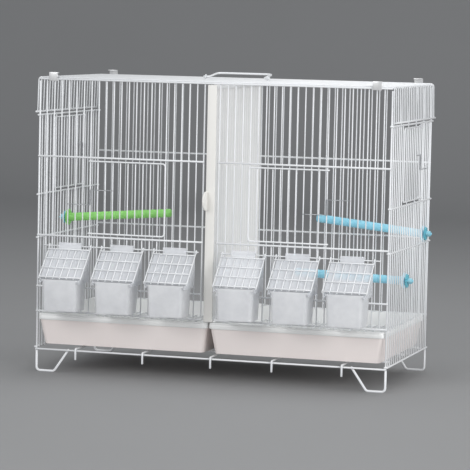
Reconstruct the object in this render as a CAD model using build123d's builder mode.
"""Twin wire breeding cage with six feeders, pull-out trays and a sliding divider."""
from math import asin, cos, pi, radians, sin, sqrt, tan
import os

from build123d import *

os.makedirs("parts", exist_ok=True)

# Wire gauges and fits
wire_r = 1.0
rail_r = 1.5
weld_gap = 0.02
running_gap = 0.35

# Wire body: gaps between the bars set the width and the depth
wire_pitch = 13.0
half_gaps = 23
side_gaps = 22
body_height = 449.0
front_rail_shares = {"door_top": 0.716, "door_bottom": 0.424, "flap": 0.387, "feeder": 0.235}
back_rail_shares = (0.0, 0.132, 0.424, 0.709, 1.0)
side_rail_shares = (0.414, 0.573, 0.866)
sill_step = 3.2
hook_turn = 120.0
slot_columns = (22, 24)
feeder_columns = ((2, 7), (9, 14), (16, 21))
left_door_columns = (7, 17)
right_door_columns = (8, 18)
nest_door_columns = (6, 16)

# Roof and its flared skirts
top_bend = 6.0
skirt_clearance = 0.3
skirt_flare = 1.5
skirt_share = 0.878
cross_rail_columns = (5.5, 14.5)

# Feet
foot_r = 2.0
foot_drop = 38.0
foot_flat = 0.3
foot_bend = 6.0
foot_flat_length = 31.0
foot_length = 57.0
foot_rise = 1.4

# Support wires under the trays
support_r = 1.75
support_columns = (5.5, 14.5, 23.5, 31.5, 40.5)
support_drop = 15.0
support_bend = 4.0
bearer_end_gap = 2.0
bearer_inset = 43.0

# Doors and their torsion springs
door_wire_r = 1.25
door_bend = 5.0
door_margin = 5.7
door_ring_turn = 270.0
spring_wire_r = 0.6
spring_clearance = 0.5
spring_pitch = 1.75
spring_turns = 14
spring_arm = 40.0

# Feeder flaps
flap_wire_r = 1.0
flap_length = 71.0
flap_half_width = 36.2
flap_slope = 45.0
flap_bars = 7
flap_cross_start = 9.0
flap_cross_count = 4
flap_end_gap = 2.0

# Feeder hoods
hood_lip = 2.3154
hood_wall = 1.2
hood_inner_width = 66.8
hood_rest_gap = 0.15
hood_bottom_drop = 9.5
hood_cover_start = 5.0
hood_cover_gap = 3.0
hood_tab_width = 40.0
hood_tab_height = 6.0
ledge_width = 2.4
ledge_height = 2.0

# Feeder cups
cup_height = 52.0
cup_wall = 1.5
cup_draft = 2.0
cup_corner = 6.0
cup_rim_height = 2.5
cup_rim_gap = 0.4
cup_back_gap = 0.6
cup_lift_gap = 0.2

# Trays and the grates that stand in them
tray_height = 51.0
tray_rim_height = 10.0
tray_rim_step = 2.0
tray_wall = 2.0
tray_draft = 7.0
tray_corner = 10.0
tray_seam = 2.0
tray_side_gap = 2.0
tray_front_lap = 4.0
tray_back_gap = 2.0
tray_lift_gap = 0.1
tray_head_gap = 2.8425
grate_height = 28.0
grate_margin = 9.0
grate_rails = 3

# Divider
sheet_thickness = 1.5
sheet_play = 0.6
sheet_back_gap = 4.0
sheet_end_gap = 1.0
strip_width = 15.0
strip_depth = 3.0
strip_rail_gap = 0.9
tab_r = 15.5
tab_reach = 4.5
tab_thickness = 3.0
tab_share = 0.5755
guide_wall = 1.5
guide_lip = 6.0
guide_base = 2.0
floor_guide_gap = 1.0
top_guide_base = 2.9
top_guide_lip = 8.0

# Carrying handle
handle_r = 1.75
handle_half_width = 48.0
handle_reach = 50.0
handle_stub = 10.0
handle_bend = 4.5
handle_corner = 10.0
handle_rise = 5.5
handle_column = 10
eye_wire_r = 1.0
eye_inset = 5.5

# Stacking clips on the front and back top rails
clip_width = 15.0
clip_thickness = 1.5
clip_height = 14.0
clip_drop = 3.0
clip_lip = 8.0
clip_inset = 25.0

# Perches
perch_r = 7.0
perch_length = 184.0
perch_nose = 3.0
perch_rings = 12
perch_ring_depth = 0.5
perch_ring_width = 1.6
collar_r = 13.5
collar_thickness = 3.0
bolt_r = 2.5
bolt_end = 2.0
washer_r = 11.0
washer_thickness = 3.0
washer_fins = 12
fin_depth = 1.5
fin_width = 1.8
nut_bore_gap = 0.2
nut_hub_r = 4.8
nut_height = 7.0
wing_span = 18.0
wing_height = 8.0
wing_thickness = 2.4
green_perch_gap, green_perch_share, green_perch_tilt = 10.5, 0.469, 4.5
upper_perch_gap, upper_perch_share, upper_perch_tilt = 19.5, 0.445, 5.8
lower_perch_gap, lower_perch_share, lower_perch_tilt = 9.5, 0.293, 1.8

# Places worked out from the sizes
front_gaps = 2 * half_gaps
cage_width = front_gaps * wire_pitch
cage_depth = side_gaps * wire_pitch
half_width = cage_width / 2
half_depth = cage_depth / 2
rail_offset = wire_r + rail_r + weld_gap
post_inset = rail_r - wire_r
rail_reach = half_depth + rail_offset + rail_r
flap_reach = 2 * wire_r + weld_gap + flap_length * cos(radians(flap_slope))
hood_depth = flap_reach + hood_lip - (rail_offset + rail_r + weld_gap)
front_reach = rail_reach + weld_gap + hood_depth
back_reach = half_depth + rail_offset + rail_r + 2 * support_r + weld_gap
mid_y = (front_reach - back_reach) / 2
front_y = mid_y - half_depth
back_y = mid_y + half_depth
front_rail_y = front_y - rail_offset
back_rail_y = back_y + rail_offset
front_face_y = front_rail_y - rail_r
base_z = foot_drop
roof_z = base_z + body_height
top_wire_z = roof_z + rail_r + weld_gap + wire_r
post_top_z = top_wire_z - top_bend
sill_z = base_z + sill_step
side_rail_x = half_width + rail_offset
slot_half = (slot_columns[1] - slot_columns[0]) * wire_pitch / 2
support_z = base_z + rail_r + support_r + weld_gap
bearer_z = support_z + 2 * support_r + weld_gap
tray_low_z = bearer_z + support_r + tray_lift_gap
tray_top_z = tray_low_z + tray_height
lowest_z = tray_top_z + tray_head_gap + rail_r


def level(share: float) -> float:
    """Height of a rail that stands at a share of the body's height."""
    return base_z + share * body_height


def bar_x(column: float) -> float:
    """Place of a front or back bar counted from the left corner."""
    return (column - front_gaps / 2) * wire_pitch


def bar_y(column: float) -> float:
    """Place of a side bar counted from the front corner."""
    return mid_y + (column - side_gaps / 2) * wire_pitch


door_top_z = level(front_rail_shares["door_top"])
door_bottom_z = level(front_rail_shares["door_bottom"])
flap_z = level(front_rail_shares["flap"])
feeder_z = level(front_rail_shares["feeder"])
flap_hinge_y = front_y - 2 * wire_r - weld_gap
nest_bottom_z, nest_top_z = level(side_rail_shares[1]), level(side_rail_shares[2])


def bars_z(places: list, low: float, high: float, radius: float) -> None:
    """Upright wires between two heights."""
    with Locations(*[(x, y, (low + high) / 2) for x, y in places]):
        Cylinder(radius=radius, height=high - low)


def bars_x(places: list, low: float, high: float, radius: float) -> None:
    """Wires across the width between two places."""
    with Locations(*[((low + high) / 2, y, z) for y, z in places]):
        Cylinder(radius=radius, height=high - low, rotation=(0, 90, 0))


def bars_y(places: list, low: float, high: float, radius: float) -> None:
    """Wires along the depth between two places."""
    with Locations(*[(x, (low + high) / 2, z) for x, z in places]):
        Cylinder(radius=radius, height=high - low, rotation=(90, 0, 0))


def bent_wire(points: list, bend: float, radius: float) -> None:
    """One wire along straight runs with rounded corners."""
    with BuildLine() as run:
        FilletPolyline(*points, radius=bend)
    with BuildSketch(Plane(origin=run.line @ 0, z_dir=run.line % 0)) as section:
        Circle(radius)
    sweep(sections=section.sketch, path=run.line)


def keep(piece: BuildPart, node: str) -> None:
    """Label a finished piece and write its file."""
    piece.part.label = node
    export_step(piece.part, f"parts/{node}.step")


# Front panel: its bars stop at the feeder and door openings and leave the centre slot free.
# The right door stands one gap further from its corner than the left one.
def in_span(column: int, span: tuple) -> bool:
    """True for a bar strictly between the two columns."""
    return span[0] < column < span[1]


def front_segments(column: int, door_columns: tuple) -> list:
    """Lengths of one front bar, counted from its own corner and cut where it meets an opening."""
    pieces = []
    start = lowest_z - rail_r
    if any(in_span(column, span) for span in feeder_columns):
        pieces.append((start, feeder_z + rail_r))
        start = flap_z - wire_r
    if in_span(column, door_columns):
        pieces.append((start, door_bottom_z + rail_r))
        start = door_top_z - rail_r
    pieces.append((start, roof_z + rail_r))
    return pieces


front_spans = {}
for side, door_columns in ((1, left_door_columns), (-1, right_door_columns)):
    for column in range(1, slot_columns[0] + 1):
        for span in front_segments(column, door_columns):
            front_spans.setdefault(span, []).append(side * bar_x(column))

front_rail_end = half_width + post_inset
slot_rail_end = slot_half - rail_r
flap_rail_start = wire_pitch - half_width - wire_r
flap_rail_end = bar_x(feeder_columns[-1][1]) + (wire_pitch + rail_r + wire_r) / 2
with BuildPart() as front_panel:
    for (low, high), places in front_spans.items():
        bars_z([(x, front_y) for x in places], low, high, wire_r)
    posts = [(side * (half_width - post_inset), front_y + post_inset) for side in (1, -1)]
    bars_z(posts, base_z - rail_r, post_top_z, rail_r)
    bars_x([(front_rail_y, base_z), (front_rail_y, roof_z)], -front_rail_end, front_rail_end, rail_r)
    split_rails = [(front_rail_y, z) for z in (lowest_z, feeder_z, door_bottom_z, door_top_z)]
    bars_x(split_rails, -front_rail_end, -slot_rail_end, rail_r)
    bars_x(split_rails, slot_rail_end, front_rail_end, rail_r)
    bars_x([(flap_hinge_y, flap_z)], flap_rail_start, flap_rail_end, wire_r)
    bars_x([(flap_hinge_y, flap_z)], -flap_rail_end, -flap_rail_start, wire_r)
keep(front_panel, "front_panel")

# Back panel: unbroken bars from the sill to the roof
with BuildPart() as back_panel:
    back_bars = [(bar_x(column), back_y) for column in range(1, front_gaps)]
    bars_z(back_bars, base_z - rail_r, roof_z + rail_r, wire_r)
    posts = [(side * (half_width - post_inset), back_y - post_inset) for side in (1, -1)]
    bars_z(posts, base_z - rail_r, post_top_z, rail_r)
    back_rails = [(back_rail_y, level(share)) for share in back_rail_shares]
    bars_x(back_rails, -front_rail_end, front_rail_end, rail_r)
keep(back_panel, "back_panel")


# Side panels: rails that end in hooks round the corner posts
def hooked_rail(height: float) -> None:
    """A side rail with a hook round the front post and one round the back post."""
    post_x = half_width - post_inset
    hook_r = 2 * rail_r + weld_gap
    with BuildLine(Plane.XY.offset(height)) as run:
        CenterArc((post_x, front_y + post_inset), hook_r, -hook_turn, hook_turn)
        Line((side_rail_x, front_y + post_inset), (side_rail_x, back_y - post_inset))
        CenterArc((post_x, back_y - post_inset), hook_r, 0, hook_turn)
    with BuildSketch(Plane(origin=run.line @ 0, z_dir=run.line % 0)) as section:
        Circle(rail_r)
    sweep(sections=section.sketch, path=run.line)


side_bar_top = nest_top_z + rail_r
with BuildPart() as right_side_panel:
    whole = [c for c in range(1, side_gaps) if not in_span(c, nest_door_columns)]
    cut = [c for c in range(1, side_gaps) if in_span(c, nest_door_columns)]
    bars_z([(half_width, bar_y(c)) for c in whole], sill_z - rail_r, side_bar_top, wire_r)
    bars_z([(half_width, bar_y(c)) for c in cut], sill_z - rail_r, nest_bottom_z + rail_r, wire_r)
    for rail_height in [sill_z] + [level(share) for share in side_rail_shares]:
        hooked_rail(rail_height)
keep(right_side_panel, "right_side_panel")

with BuildPart() as left_side_panel:
    mirror(right_side_panel.part, about=Plane.YZ)
keep(left_side_panel, "left_side_panel")

# Roof: wires across the width on rails along the depth
skirt_x = half_width + wire_r + skirt_clearance + wire_r
roof_wire_end = skirt_x - top_bend
with BuildPart() as top_panel:
    roof_places = [(bar_y(column), top_wire_z) for column in range(side_gaps + 1)]
    bars_x(roof_places, -roof_wire_end, roof_wire_end, wire_r)
    rail_places = [(side * bar_x(column), roof_z) for column in cross_rail_columns for side in (1, -1)]
    bars_y(rail_places, front_rail_y + rail_r + weld_gap, back_rail_y - rail_r - weld_gap, rail_r)
keep(top_panel, "top_panel")

# Skirts: the roof wires turn down and flare over the side panels
skirt_low_z = level(skirt_share) - rail_r
skirt_lean = skirt_flare / (top_wire_z - skirt_low_z)
skirt_rail_x = skirt_x + skirt_flare - rail_r * skirt_lean + rail_offset * sqrt(1 + skirt_lean**2)
with BuildPart() as skirt_wire:
    skirt_points = [(roof_wire_end + weld_gap, 0, top_wire_z), (skirt_x, 0, top_wire_z)]
    skirt_points.append((skirt_x + skirt_flare, 0, skirt_low_z))
    bent_wire(skirt_points, top_bend - wire_r, wire_r)
with BuildPart() as right_skirt:
    with Locations(*[(0, bar_y(column), 0) for column in range(side_gaps + 1)]):
        add(skirt_wire.part)
    bars_y([(skirt_rail_x, skirt_low_z + rail_r)], front_y - wire_r, back_y + wire_r, rail_r)
keep(right_skirt, "right_skirt")

with BuildPart() as left_skirt:
    mirror(right_skirt.part, about=Plane.YZ)
keep(left_skirt, "left_skirt")

# Support wires along the depth, bent down past the rails, and the bearers that cross them
support_end_y = half_depth + rail_offset + rail_r + support_r + weld_gap
with BuildPart() as support_wire:
    low_z = base_z - support_drop
    front_end, back_end = mid_y - support_end_y, mid_y + support_end_y
    support_points = [(0, front_end, low_z), (0, front_end, support_z)]
    support_points += [(0, back_end, support_z), (0, back_end, low_z)]
    bent_wire(support_points, support_r + running_gap, support_r)
with BuildPart() as support_grid:
    with Locations(*[(bar_x(column), 0, 0) for column in support_columns]):
        add(support_wire.part)
    bearer_reach = half_width - wire_r - bearer_end_gap
    bearer_spread = half_depth - bearer_inset
    bearer_rows = [(mid_y + side * bearer_spread, bearer_z) for side in (-1, 0, 1)]
    bars_x(bearer_rows, -bearer_reach, bearer_reach, support_r)
keep(support_grid, "support_grid")

# Feet: bent wires that stand behind the front rail and before the back rail
foot_x = half_width - post_inset
foot_low_z = foot_r - foot_flat
with BuildPart() as foot_shape:
    foot_points = [(foot_x, 0, base_z - rail_r - weld_gap), (foot_x, 0, foot_low_z)]
    foot_points.append((foot_x - foot_flat_length, 0, foot_low_z))
    foot_points.append((foot_x - foot_length, 0, base_z + foot_rise))
    bent_wire(foot_points, foot_bend, foot_r)
    split(bisect_by=Plane.XY, keep=Keep.TOP)
front_foot_y = front_rail_y + rail_r + foot_r + weld_gap
back_foot_y = back_rail_y - rail_r - foot_r - weld_gap
for name, foot_place in (("front", front_foot_y), ("back", back_foot_y)):
    with BuildPart() as right_foot:
        with Locations((0, foot_place, 0)):
            add(foot_shape.part)
    keep(right_foot, f"{name}_right_foot")
    with BuildPart() as left_foot:
        mirror(right_foot.part, about=Plane.YZ)
    keep(left_foot, f"{name}_left_foot")


# Doors: a bent frame whose ends wrap the hinge bar, with upright bars behind it
def door(columns: tuple, low: float, high: float) -> None:
    """A door that stands along +X from its hinge bar at the origin, outside towards -Y."""
    frame_y = -(wire_r + running_gap + door_wire_r)
    ring_r = -frame_y
    free_x = (columns[1] - columns[0]) * wire_pitch
    bottom, top = low + rail_r + door_margin - door_wire_r, high - rail_r - door_margin + door_wire_r
    with BuildLine() as run:
        FilletPolyline((0, frame_y, bottom), (free_x, frame_y, bottom),
                       (free_x, frame_y, top), (0, frame_y, top), radius=door_bend)
    with BuildSketch(Plane(origin=run.line @ 0, z_dir=run.line % 0)) as section:
        Circle(door_wire_r)
    sweep(sections=section.sketch, path=run.line)
    for height in (bottom, top):
        with BuildLine(Plane.XY.offset(height)) as ring:
            CenterArc((0, 0), ring_r, -90, -door_ring_turn)
        with BuildSketch(Plane(origin=ring.line @ 0, z_dir=ring.line % 0)) as section:
            Circle(door_wire_r)
        sweep(sections=section.sketch, path=ring.line)
    infill_y = frame_y + door_wire_r + weld_gap + wire_r
    places = [(count * wire_pitch, infill_y) for count in range(1, columns[1] - columns[0])]
    bars_z(places, bottom - door_wire_r, top + door_wire_r, wire_r)


def biarc(start: Vector, start_way: Vector, end: Vector, end_way: Vector) -> None:
    """Two arcs that leave start along its way and reach end along its way."""
    chord = end - start
    both = start_way + end_way
    quad = both.dot(both) - 4
    reach = (chord.dot(both) - sqrt(chord.dot(both) ** 2 - quad * chord.dot(chord))) / quad
    first, last = start + start_way * reach, end - end_way * reach
    TangentArc(start, (first + last) / 2, tangent=start_way)
    TangentArc((first + last) / 2, end, tangent=last - first)


# Torsion spring: a coil round the hinge bar with an arm on the panel and one on the door
coil_r = wire_r + spring_clearance + spring_wire_r
quarters = 4 * spring_turns


def coil_point(quarter: float) -> Vector:
    """A point of the coil, counted in quarter turns from its lower end at the front."""
    turn = pi / 2 * (quarter - 1)
    height = spring_pitch * (quarter - quarters / 2) / 4
    return Vector(coil_r * cos(turn), coil_r * sin(turn), height)


def coil_way(quarter: float) -> Vector:
    """The coil's direction at a point, level at both ends."""
    turn = pi / 2 * (quarter - 1)
    rise = 0 if quarter in (0, quarters) else spring_pitch / (2 * pi * coil_r)
    return Vector(-sin(turn), cos(turn), rise).normalized()


def least_gap(turns: int, steps: int) -> float:
    """Least free distance between one turn of the coil and the next, measured on points."""
    points = [coil_point(4 * count / steps) for count in range(turns * steps)]
    pairs = ((a, b) for i, a in enumerate(points) for b in points[i + steps // 2:i + 2 * steps])
    return min((a - b).length for a, b in pairs) - 2 * spring_wire_r


with BuildPart() as spring_shape:
    with BuildLine() as coil:
        low_end, high_end = coil_point(0), coil_point(quarters)
        Line(low_end - Vector(spring_arm, 0, 0), low_end)
        for quarter in range(quarters):
            following = quarter + 1
            biarc(coil_point(quarter), coil_way(quarter), coil_point(following), coil_way(following))
        Line(high_end, high_end + Vector(spring_arm, 0, 0))
    with BuildSketch(Plane(origin=coil.line @ 0, z_dir=coil.line % 0)) as section:
        Circle(spring_wire_r)
    sweep(sections=section.sketch, path=coil.line)
print("least gap in a spring coil, mm:", round(least_gap(spring_turns, 24), 3))

with BuildPart() as left_door_shape:
    door(left_door_columns, door_bottom_z, door_top_z)
with BuildPart() as right_door_shape:
    door(right_door_columns, door_bottom_z, door_top_z)
with BuildPart() as nest_door_shape:
    door(nest_door_columns, nest_bottom_z, nest_top_z)
left_hinge_x, right_hinge_x = bar_x(left_door_columns[0]), -bar_x(right_door_columns[0])
spring_z, nest_spring_z = (door_bottom_z + door_top_z) / 2, (nest_bottom_z + nest_top_z) / 2
nest_hinge_y = bar_y(nest_door_columns[1])
with BuildPart() as left_front_door:
    with Locations((left_hinge_x, front_y, 0)):
        add(left_door_shape.part)
keep(left_front_door, "left_front_door")
with BuildPart() as unturned_door:
    with Locations((-right_hinge_x, front_y, 0)):
        add(right_door_shape.part)
with BuildPart() as right_front_door:
    mirror(unturned_door.part, about=Plane.YZ)
keep(right_front_door, "right_front_door")

# Both front doors have the same spring; the nest doors have one each way round
for name, hinge_x in (("left_front_door_spring", left_hinge_x), ("right_front_door_spring", right_hinge_x)):
    with BuildPart() as front_door_spring:
        with Locations((hinge_x, front_y, spring_z)):
            add(spring_shape.part)
    keep(front_door_spring, name)
for name, shape, height in (("nest_door", nest_door_shape, 0), ("nest_door_spring", spring_shape, nest_spring_z)):
    with BuildPart() as left_piece:
        with Locations(Location((-half_width, nest_hinge_y, height), (0, 0, -90))):
            add(shape.part)
    keep(left_piece, f"left_{name}")
    with BuildPart() as right_piece:
        mirror(left_piece.part, about=Plane.YZ)
    keep(right_piece, f"right_{name}")

# Feeder flap: slanted bars and cross wires, with two eyes round the hinge wire
flap_plane = Plane(
    origin=(0, flap_hinge_y, flap_z),
    x_dir=(1, 0, 0),
    z_dir=(0, -sin(radians(flap_slope)), cos(radians(flap_slope))),
)
flap_eye_r = wire_r + running_gap + flap_wire_r
with BuildPart() as flap_shape:
    step = 2 * flap_half_width / (flap_bars - 1)
    inner = [-flap_half_width + step * count for count in range(1, flap_bars - 1)]
    cross_step = (flap_length - flap_end_gap - flap_cross_start) / (flap_cross_count - 1)
    cross_places = [flap_cross_start + cross_step * count for count in range(flap_cross_count)]
    inner_start = flap_cross_start - flap_wire_r
    with Locations(flap_plane):
        with Locations(*[(x, -(inner_start + flap_length) / 2, 0) for x in inner]):
            Cylinder(radius=flap_wire_r, height=flap_length - inner_start, rotation=(90, 0, 0))
        with Locations(*[(side * flap_half_width, -(flap_eye_r + flap_length) / 2, 0) for side in (1, -1)]):
            Cylinder(radius=flap_wire_r, height=flap_length - flap_eye_r, rotation=(90, 0, 0))
        with Locations(*[(side * flap_half_width, 0, 0) for side in (1, -1)]):
            Torus(major_radius=flap_eye_r, minor_radius=flap_wire_r, rotation=(0, 90, 0))
        cross_lift = 2 * flap_wire_r + weld_gap
        with Locations(*[(0, -place, cross_lift) for place in cross_places]):
            Cylinder(radius=flap_wire_r, height=2 * (flap_half_width + flap_wire_r), rotation=(0, 90, 0))

# Feeder hood: two cheeks, a slanted cover, ledges for the cup and a hook over the hinge wire
hood_back_y = front_face_y - weld_gap
cover_drop = flap_wire_r + hood_rest_gap
cheek_inner = hood_inner_width / 2
cup_rim_top_z = flap_z - (flap_length * sin(radians(flap_slope))) - cover_drop - running_gap
ledge_top_z = cup_rim_top_z - cup_rim_height - cup_lift_gap
cheek_low_z = ledge_top_z - ledge_height - hood_wall


def cover_z(y: float) -> float:
    """Height of the cover's upper face at a place along the depth."""
    slope = radians(flap_slope)
    return flap_z - (flap_hinge_y - y) * tan(slope) - cover_drop / cos(slope)


hood_cover_end = flap_length - hood_cover_gap
with BuildPart() as hood_shape:
    cheek = [(hood_back_y, cheek_low_z), (hood_back_y, cover_z(hood_back_y))]
    cheek += [(hood_back_y - hood_depth, cover_z(hood_back_y - hood_depth))]
    cheek += [(hood_back_y - hood_depth, cheek_low_z)]
    for start in (cheek_inner, -cheek_inner - hood_wall):
        with BuildSketch(Plane.YZ.offset(start)):
            with BuildLine():
                Polyline(*cheek, close=True)
            make_face()
        extrude(amount=hood_wall)
    with Locations(flap_plane):
        with Locations((0, -(hood_cover_start + hood_cover_end) / 2, -cover_drop - hood_wall / 2)):
            Box(2 * (cheek_inner - weld_gap), hood_cover_end - hood_cover_start, hood_wall)
    ledge_x = cheek_inner - weld_gap - ledge_width / 2
    with Locations(*[(side * ledge_x, hood_back_y - hood_depth / 2, ledge_top_z - ledge_height / 2)
                     for side in (1, -1)]):
        Box(ledge_width, hood_depth, ledge_height)
    cover_top_y = flap_hinge_y - hood_cover_start * cos(radians(flap_slope))
    tab_low_z = cover_z(cover_top_y + cover_drop * sin(radians(flap_slope))) + weld_gap
    tab_high_z = flap_z + hood_tab_height
    with Locations((0, hood_back_y - running_gap - hood_wall / 2, (tab_low_z + tab_high_z) / 2)):
        Box(hood_tab_width, hood_wall, tab_high_z - tab_low_z)
    hook_low_z = flap_z + wire_r + weld_gap
    hook_start = hood_back_y - running_gap + weld_gap
    hook_end = front_y - wire_r - weld_gap
    with Locations((0, (hook_start + hook_end) / 2, hook_low_z + hood_wall / 2)):
        Box(hood_tab_width, hook_end - hook_start, hood_wall)

# Feeder cup: a drafted basin whose rim slides on the hood's ledges
cup_rim_half = cheek_inner - cup_rim_gap
cup_body_half = cheek_inner - ledge_width - cup_rim_gap
cup_back_y = front_face_y - cup_back_gap
cup_depth = hood_depth - 2 * cup_back_gap
cup_mid_y = cup_back_y - cup_depth / 2
cup_low_z = cup_rim_top_z - cup_height
with BuildPart() as cup_shape:
    with BuildSketch(Plane.XY.offset(cup_low_z)):
        with Locations((0, cup_mid_y)):
            RectangleRounded(2 * (cup_body_half - cup_draft), cup_depth - 2 * cup_draft, cup_corner - cup_draft)
    with BuildSketch(Plane.XY.offset(cup_rim_top_z)):
        with Locations((0, cup_mid_y)):
            RectangleRounded(2 * cup_body_half, cup_depth, cup_corner)
    loft()
    with BuildSketch(Plane.XY.offset(cup_rim_top_z)):
        with Locations((0, cup_mid_y)):
            RectangleRounded(2 * cup_rim_half, cup_depth, cup_corner)
    extrude(amount=-cup_rim_height)
    with BuildSketch(Plane.XY.offset(cup_low_z + cup_wall)):
        with Locations((0, cup_mid_y)):
            inner_bottom = cup_draft + cup_wall
            RectangleRounded(2 * (cup_body_half - inner_bottom), cup_depth - 2 * inner_bottom,
                             cup_corner - inner_bottom)
    with BuildSketch(Plane.XY.offset(cup_rim_top_z)):
        with Locations((0, cup_mid_y)):
            RectangleRounded(2 * (cup_body_half - cup_wall), cup_depth - 2 * cup_wall, cup_corner - cup_wall)
    loft(mode=Mode.SUBTRACT)

feeder_places = [bar_x((a + b) / 2) for a, b in feeder_columns]
feeder_places += [-place for place in reversed(feeder_places)]
for number, place in enumerate(feeder_places, start=1):
    with BuildPart() as feeder_gate:
        with Locations((place, 0, 0)):
            add(flap_shape.part)
    keep(feeder_gate, f"feeder_gate_{number}")
    with BuildPart() as feeder_hood:
        with Locations((place, 0, 0)):
            add(hood_shape.part)
    keep(feeder_hood, f"feeder_hood_{number}")
    with BuildPart() as feeder_cup:
        with Locations((place, 0, 0)):
            add(cup_shape.part)
    keep(feeder_cup, f"feeder_cup_{number}")

# Trays: drafted bodies with a deep rim, side by side under the lowest front rail
tray_rim_z = tray_top_z - tray_rim_height
tray_inner_x = tray_seam / 2
tray_outer_x = half_width - wire_r - tray_side_gap
tray_width = tray_outer_x - tray_inner_x
tray_front_y = front_y - tray_front_lap
tray_depth = back_y - wire_r - tray_back_gap - tray_front_y
tray_mid_x = (tray_inner_x + tray_outer_x) / 2
tray_mid_y = tray_front_y + tray_depth / 2


def tray_outline(height: float, inset: float) -> Sketch:
    """The tray's rounded outline, drawn in from the rim by an inset."""
    with BuildSketch(Plane.XY.offset(height)) as outline:
        with Locations((tray_mid_x, tray_mid_y)):
            corner = tray_corner - inset / 2
            RectangleRounded(tray_width - 2 * inset, tray_depth - 2 * inset, corner)
    return outline.sketch


with BuildPart() as right_tray:
    loft([tray_outline(tray_low_z, tray_rim_step + tray_draft), tray_outline(tray_rim_z, tray_rim_step)])
    extrude(tray_outline(tray_rim_z, 0), amount=tray_rim_height)
    inner_low = tray_outline(tray_low_z + tray_wall, tray_rim_step + tray_draft + tray_wall)
    inner_high = tray_outline(tray_top_z, tray_rim_step + tray_wall)
    loft([inner_low, inner_high], mode=Mode.SUBTRACT)
keep(right_tray, "right_tray")

with BuildPart() as left_tray:
    mirror(right_tray.part, about=Plane.YZ)
keep(left_tray, "left_tray")

# Floor grates: bars on cross rails with short legs that stand on the tray's floor
grate_inset = tray_rim_step + tray_draft + tray_wall + grate_margin
grate_half_x = tray_width / 2 - grate_inset
grate_half_y = tray_depth / 2 - grate_inset
grate_floor_z = tray_low_z + tray_wall + weld_gap
grate_bar_z = grate_floor_z + grate_height
grate_rail_z = grate_bar_z - wire_r - rail_r - weld_gap
grate_count = int(2 * grate_half_x / wire_pitch) + 1
grate_xs = [tray_mid_x + (count - (grate_count - 1) / 2) * wire_pitch for count in range(grate_count)]
with BuildPart() as right_floor_grate:
    low_y, high_y = tray_mid_y - grate_half_y, tray_mid_y + grate_half_y
    bars_y([(x, grate_bar_z) for x in grate_xs], low_y, high_y, wire_r)
    rail_span = high_y - low_y - 2 * rail_r
    rail_ys = [low_y + rail_r + rail_span * count / (grate_rails - 1) for count in range(grate_rails)]
    rail_low, rail_high = grate_xs[0] - wire_r, grate_xs[-1] + wire_r
    bars_x([(y, grate_rail_z) for y in rail_ys], rail_low, rail_high, rail_r)
    legs = [(x, y) for x in (rail_low + rail_r, rail_high - rail_r) for y in rail_ys]
    bars_z(legs, grate_floor_z, grate_rail_z - rail_r - weld_gap, rail_r)
keep(right_floor_grate, "right_floor_grate")

with BuildPart() as left_floor_grate:
    mirror(right_floor_grate.part, about=Plane.YZ)
keep(left_floor_grate, "left_floor_grate")

# Divider: a thin sheet behind a front strip with a half-round pull tab, between two guides
sheet_half = sheet_thickness / 2
guide_inner = sheet_half + sheet_play
floor_guide_low_z = tray_top_z + floor_guide_gap
sheet_low_z = floor_guide_low_z + guide_base + sheet_end_gap / 2
strip_front_y = front_y - wire_r - strip_depth
strip_back_y = front_y - wire_r
top_guide_high_z = top_wire_z - wire_r - weld_gap
sheet_high_z = top_guide_high_z - top_guide_base - sheet_end_gap
sheet_front_y = strip_back_y + weld_gap
sheet_back_y = back_y - wire_r - sheet_back_gap
with BuildPart() as divider_sheet:
    with Locations((0, (sheet_front_y + sheet_back_y) / 2, (sheet_low_z + sheet_high_z) / 2)):
        Box(sheet_thickness, sheet_back_y - sheet_front_y, sheet_high_z - sheet_low_z)
keep(divider_sheet, "divider_sheet")

strip_low_z = tray_top_z + floor_guide_gap
strip_high_z = roof_z - rail_r - strip_rail_gap
with BuildPart() as divider_front_strip:
    with Locations((0, (strip_front_y + strip_back_y) / 2, (strip_low_z + strip_high_z) / 2)):
        Box(strip_width, strip_depth, strip_high_z - strip_low_z)
    with BuildSketch(Plane.YZ.offset(-strip_width / 2)):
        with Locations((strip_front_y - tab_reach, level(tab_share))):
            Circle(tab_r)
        with Locations((strip_front_y - tab_reach / 2, level(tab_share))):
            Rectangle(tab_reach, 2 * tab_r)
        with Locations((strip_front_y + tab_r, level(tab_share))):
            Rectangle(2 * tab_r, 2 * tab_r, mode=Mode.SUBTRACT)
    extrude(amount=tab_thickness)
keep(divider_front_strip, "divider_front_strip")

with BuildPart() as divider_floor_guide:
    guide_front_y, guide_back_y = front_y - wire_r + weld_gap + weld_gap, back_y - wire_r - weld_gap
    guide_length = guide_back_y - guide_front_y
    guide_mid_y = (guide_front_y + guide_back_y) / 2
    with Locations((0, guide_mid_y, floor_guide_low_z + guide_base / 2)):
        Box(2 * (slot_half - wire_r - weld_gap), guide_length, guide_base)
    with Locations(*[(side * (guide_inner + guide_wall / 2), guide_mid_y,
                      floor_guide_low_z + guide_base + guide_lip / 2) for side in (1, -1)]):
        Box(guide_wall, guide_length, guide_lip)
keep(divider_floor_guide, "divider_floor_guide")

with BuildPart() as divider_top_guide:
    guide_front_y, guide_back_y = front_y + wire_r, back_y - wire_r - weld_gap
    guide_length = guide_back_y - guide_front_y
    guide_mid_y = (guide_front_y + guide_back_y) / 2
    with Locations((0, guide_mid_y, top_guide_high_z - top_guide_base / 2)):
        Box(2 * (guide_inner + guide_wall), guide_length, top_guide_base)
    with Locations(*[(side * (guide_inner + guide_wall / 2), guide_mid_y,
                      top_guide_high_z - top_guide_base - top_guide_lip / 2) for side in (1, -1)]):
        Box(guide_wall, guide_length, top_guide_lip)
keep(divider_top_guide, "divider_top_guide")

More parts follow.
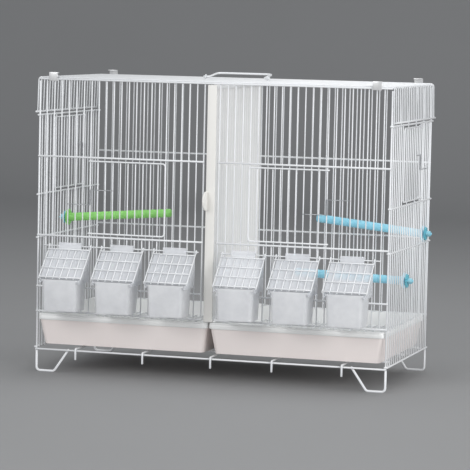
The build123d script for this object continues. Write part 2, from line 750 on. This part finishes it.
# Carrying handle: a raised bail whose outward stubs turn in two eyes on the roof
eye_r = handle_r + running_gap + eye_wire_r
handle_y = bar_y(handle_column)
handle_z = top_wire_z + wire_r + weld_gap + eye_r + eye_wire_r
handle_lean = asin(handle_rise / handle_reach)


def bail_point(x: float, reach: float) -> tuple:
    """A point of the bail at a distance from its pivots, along its lean."""
    return (x, handle_y + reach * cos(handle_lean), handle_z + reach * sin(handle_lean))


with BuildPart() as carrying_handle:
    stub_end = handle_half_width + handle_stub
    corner_x, corner_reach = handle_half_width - handle_corner, handle_reach - handle_corner
    uphill = (0, cos(handle_lean), sin(handle_lean))
    downhill = (0, -cos(handle_lean), -sin(handle_lean))
    with BuildLine() as bail:
        left_stub = Line(bail_point(-stub_end, 0), bail_point(-handle_half_width - handle_bend, 0))
        left_turn = TangentArc(left_stub @ 1, bail_point(-handle_half_width, handle_bend), tangent=(1, 0, 0))
        left_arm = Line(left_turn @ 1, bail_point(-handle_half_width, corner_reach))
        left_corner = TangentArc(left_arm @ 1, bail_point(-corner_x, handle_reach), tangent=uphill)
        bar = Line(left_corner @ 1, bail_point(corner_x, handle_reach))
        right_corner = TangentArc(bar @ 1, bail_point(handle_half_width, corner_reach), tangent=(1, 0, 0))
        right_arm = Line(right_corner @ 1, bail_point(handle_half_width, handle_bend))
        right_turn = TangentArc(right_arm @ 1, bail_point(handle_half_width + handle_bend, 0), tangent=downhill)
        Line(right_turn @ 1, bail_point(stub_end, 0))
    with BuildSketch(Plane(origin=bail.line @ 0, z_dir=bail.line % 0)) as section:
        Circle(handle_r)
    sweep(sections=section.sketch, path=bail.line)
keep(carrying_handle, "carrying_handle")

with BuildPart() as handle_brackets:
    eye_x = handle_half_width + handle_stub - eye_inset + eye_wire_r
    with Locations(*[(side * eye_x, handle_y, handle_z) for side in (1, -1)]):
        Torus(major_radius=eye_r, minor_radius=eye_wire_r, rotation=(0, 90, 0))
keep(handle_brackets, "handle_brackets")


# Stacking clips: folded strips on the outer faces of the top rails
def clip(side: int) -> None:
    """One clip whose lip points over the roof, on the front for +1 and the back for -1."""
    face_y = mid_y - side * (rail_reach + weld_gap)
    low, high = roof_z - clip_drop, roof_z - clip_drop + clip_height
    outer_y = face_y - side * clip_thickness
    corners = [(face_y, low), (outer_y, low), (outer_y, high), (outer_y + side * clip_lip, high)]
    corners += [(outer_y + side * clip_lip, high - clip_thickness), (face_y, high - clip_thickness)]
    clip_place = half_width - clip_inset
    for place in (clip_place, -clip_place):
        with BuildSketch(Plane.YZ.offset(place - clip_width / 2)) as profile:
            with BuildLine() as outline:
                Polyline(*corners, close=True)
            make_face(outline.line)
        extrude(profile.sketch, amount=clip_width)


with BuildPart() as stacking_clips:
    clip(1)
    clip(-1)
keep(stacking_clips, "stacking_clips")

# Perches: a rod, a collar inside the bars and a bolt that passes between them
bar_inner_x = half_width - wire_r
bar_outer_x = half_width + wire_r
washer_end_x = bar_outer_x + weld_gap + washer_thickness
nut_end_x = washer_end_x + weld_gap + nut_height
perch_sets = (
    ("green_perch", -1, green_perch_gap, green_perch_share, green_perch_tilt),
    ("upper_blue_perch", 1, upper_perch_gap, upper_perch_share, upper_perch_tilt),
    ("lower_blue_perch", 1, lower_perch_gap, lower_perch_share, lower_perch_tilt),
)
with BuildPart() as perch_rod:
    with BuildSketch(Plane.XZ):
        with BuildLine():
            Polyline((0, 0), (perch_r, 0), (perch_r, perch_length - perch_nose),
                     (perch_r - perch_nose, perch_length), (0, perch_length), close=True)
        make_face()
    revolve(axis=Axis.Z)
    ring_step = perch_length / (perch_rings + 1)
    with Locations(*[(0, 0, ring_step * (count + 1)) for count in range(perch_rings)]):
        Torus(major_radius=perch_r + perch_ring_width - perch_ring_depth,
              minor_radius=perch_ring_width, mode=Mode.SUBTRACT)
for name, side, gap, share, tilt in perch_sets:
    perch_y, perch_z = bar_y(gap), level(share)
    collar_end_x = bar_inner_x - weld_gap - collar_thickness
    rod_start = collar_end_x - weld_gap - perch_r * tan(radians(tilt))
    with BuildPart() as perch:
        with Locations(Location((side * rod_start, perch_y, perch_z), (0, -side * (90 - tilt), 0))):
            add(perch_rod.part)
        with Locations((side * (collar_end_x + collar_thickness / 2), perch_y, perch_z)):
            Cylinder(radius=collar_r, height=collar_thickness, rotation=(0, 90, 0))
        bolt_start, bolt_stop = bar_inner_x - weld_gap - collar_thickness / 2, nut_end_x + bolt_end
        with Locations((side * (bolt_start + bolt_stop) / 2, perch_y, perch_z)):
            Cylinder(radius=bolt_r, height=bolt_stop - bolt_start, rotation=(0, 90, 0))
    keep(perch, name)

# Washers with finned edges, one on each perch bolt, outside the bars
with BuildPart() as washer_shape:
    Cylinder(radius=washer_r, height=washer_thickness)
    Cylinder(radius=bolt_r + nut_bore_gap, height=washer_thickness, mode=Mode.SUBTRACT)
    with PolarLocations(washer_r - fin_depth / 2, washer_fins):
        Box(fin_depth, fin_width, washer_thickness, mode=Mode.SUBTRACT)
with BuildPart() as nut_shape:
    Cylinder(radius=nut_hub_r, height=nut_height)
    with Locations(*[(side * wing_span / 4, 0, 0) for side in (1, -1)]):
        Box(wing_span / 2, wing_thickness, nut_height)
    with Locations(*[(side * (wing_span / 2 - wing_thickness), 0, (wing_height - nut_height) / 2)
                     for side in (1, -1)]):
        Box(2 * wing_thickness, wing_thickness, wing_height)
    Cylinder(radius=bolt_r + nut_bore_gap, height=nut_height, mode=Mode.SUBTRACT)
washer_spots = []
nut_spots = []
for name, side, gap, share, tilt in perch_sets:
    spot = (bar_y(gap), level(share))
    washer_x = side * (washer_end_x - washer_thickness / 2)
    nut_x = side * (nut_end_x - nut_height / 2)
    washer_spots.append(Location((washer_x, *spot), (0, side * 90, 0)))
    nut_spots.append(Location((nut_x, *spot), (0, side * 90, 0)))
with BuildPart() as perch_washers:
    with Locations(*washer_spots):
        add(washer_shape.part)
keep(perch_washers, "perch_washers")
with BuildPart() as perch_wing_nuts:
    with Locations(*nut_spots):
        add(nut_shape.part)
keep(perch_wing_nuts, "perch_wing_nuts")

print("overall height, mm:", round(handle_z + handle_rise + handle_r, 2))
print("mid_y, mm:", round(mid_y, 3))
